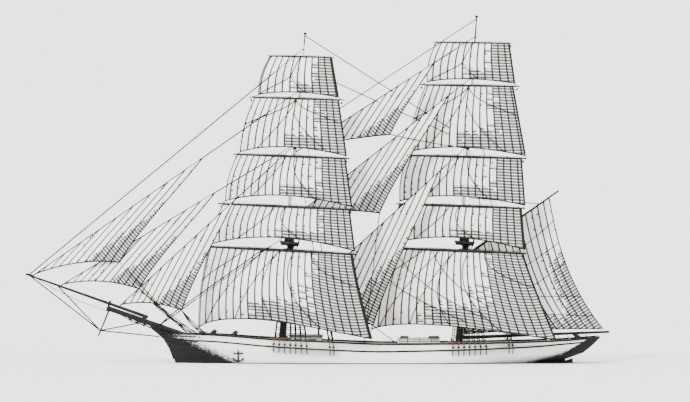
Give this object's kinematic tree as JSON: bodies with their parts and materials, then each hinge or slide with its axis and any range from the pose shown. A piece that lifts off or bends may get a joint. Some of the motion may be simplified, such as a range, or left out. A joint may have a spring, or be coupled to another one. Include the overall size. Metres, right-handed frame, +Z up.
{
  "type": "two-masted square-rigged sailing ship",
  "caption": "White brig with black bow and counter under full sail, square yards braced sharp, headsails, staysails and gaff spanker.",
  "frame": {"origin": "On the waterline, on the middle plane, amidships between the two masts.", "axes": "+X to the bow, +Y to port, +Z up; the waterline is z = 0."},
  "size_m": [38.8628, 9.3673, 26.3833],
  "materials": {
    "hull_paint": "painted planking, satin",
    "bulwark_paint": "painted planking, satin",
    "black_spar_paint": "black painted spars, satin",
    "deck_joinery": "painted joinery, satin",
    "dark_joinery": "dark painted wood, satin",
    "sail_canvas": "flax canvas, matt",
    "tarred_rope": "tarred hemp rope, matt"
  },
  "bodies": {
    "ship": {"hull": "hull_paint", "bulwark_port": "bulwark_paint", "bulwark_starboard": "bulwark_paint", "ships_boat": "bulwark_paint", "bowsprit": "black_spar_paint", "jibboom": "black_spar_paint", "martingale": "black_spar_paint", "fore_lower_mast": "black_spar_paint", "fore_topmast": "black_spar_paint", "fore_topgallant_mast": "black_spar_paint", "main_lower_mast": "black_spar_paint", "main_topmast": "black_spar_paint", "main_topgallant_mast": "black_spar_paint", "deckhouse": "deck_joinery", "main_hatch": "deck_joinery", "cabin_skylight": "deck_joinery", "wheel_box": "deck_joinery", "deckhouse_roof": "dark_joinery", "windlass": "dark_joinery", "fore_topmast_staysail": "sail_canvas", "jib": "sail_canvas", "flying_jib": "sail_canvas", "main_topmast_staysail": "sail_canvas", "main_topgallant_staysail": "sail_canvas", "main_royal_staysail": "sail_canvas", "fore_shrouds": "tarred_rope", "main_shrouds": "tarred_rope", "fore_stay": "tarred_rope", "fore_topmast_stays": "tarred_rope", "fore_topgallant_stays": "tarred_rope", "main_topmast_stays": "tarred_rope", "main_topgallant_stays": "tarred_rope", "main_royal_stay": "tarred_rope"},
    "fore_yards": {"fore_course_yard": "black_spar_paint", "fore_course": "sail_canvas", "fore_lower_topsail_yard": "black_spar_paint", "fore_lower_topsail": "sail_canvas", "fore_upper_topsail_yard": "black_spar_paint", "fore_upper_topsail": "sail_canvas", "fore_topgallant_yard": "black_spar_paint", "fore_topgallant": "sail_canvas", "fore_royal_yard": "black_spar_paint", "fore_royal": "sail_canvas"},
    "main_yards": {"main_course_yard": "black_spar_paint", "main_course": "sail_canvas", "main_lower_topsail_yard": "black_spar_paint", "main_lower_topsail": "sail_canvas", "main_upper_topsail_yard": "black_spar_paint", "main_upper_topsail": "sail_canvas", "main_topgallant_yard": "black_spar_paint", "main_topgallant": "sail_canvas", "main_royal_yard": "black_spar_paint", "main_royal": "sail_canvas"},
    "spanker": {"spanker_boom": "black_spar_paint", "spanker_gaff": "black_spar_paint", "spanker": "sail_canvas"},
    "rudder": {"rudder": "dark_joinery"},
    "steering_wheel": {"steering_wheel": "dark_joinery"},
    "deckhouse_door": {"deckhouse_door": "dark_joinery"}
  },
  "joints": [
    {"name": "fore_braces", "type": "hinge", "parent": "ship", "child": "fore_yards", "pos_m": [6.542, 0, 0], "axis": [-0.0916, 0, 0.9958], "range_deg": [-96, 0]},
    {"name": "main_braces", "type": "hinge", "parent": "ship", "child": "main_yards", "pos_m": [-5.294, 0, 0], "axis": [-0.0698, 0, 0.9976], "range_deg": [-96, 0]},
    {"name": "spanker_sheet", "type": "hinge", "parent": "ship", "child": "spanker", "pos_m": [-5.63317, 0, -0.02374], "axis": [-0.0698, 0, 0.9976], "range_deg": [-18, 42]},
    {"name": "rudder_stock", "type": "hinge", "parent": "ship", "child": "rudder", "pos_m": [-12.72, 0, 0], "axis": [0, 0, 1], "range_deg": [-35, 35]},
    {"name": "wheel_axle", "type": "hinge", "parent": "ship", "child": "steering_wheel", "pos_m": [-13.11, 0, 1.225], "axis": [1, 0, 0], "range_deg": [-350, 350]},
    {"name": "deckhouse_door_hinge", "type": "hinge", "parent": "ship", "child": "deckhouse_door", "pos_m": [3.435, 0.291, 0], "axis": [0, 0, 1], "range_deg": [-100, 0]}
  ],
  "couplings": [
    {"joint": "wheel_axle", "follows": "rudder_stock", "ratio": 10}
  ]
}
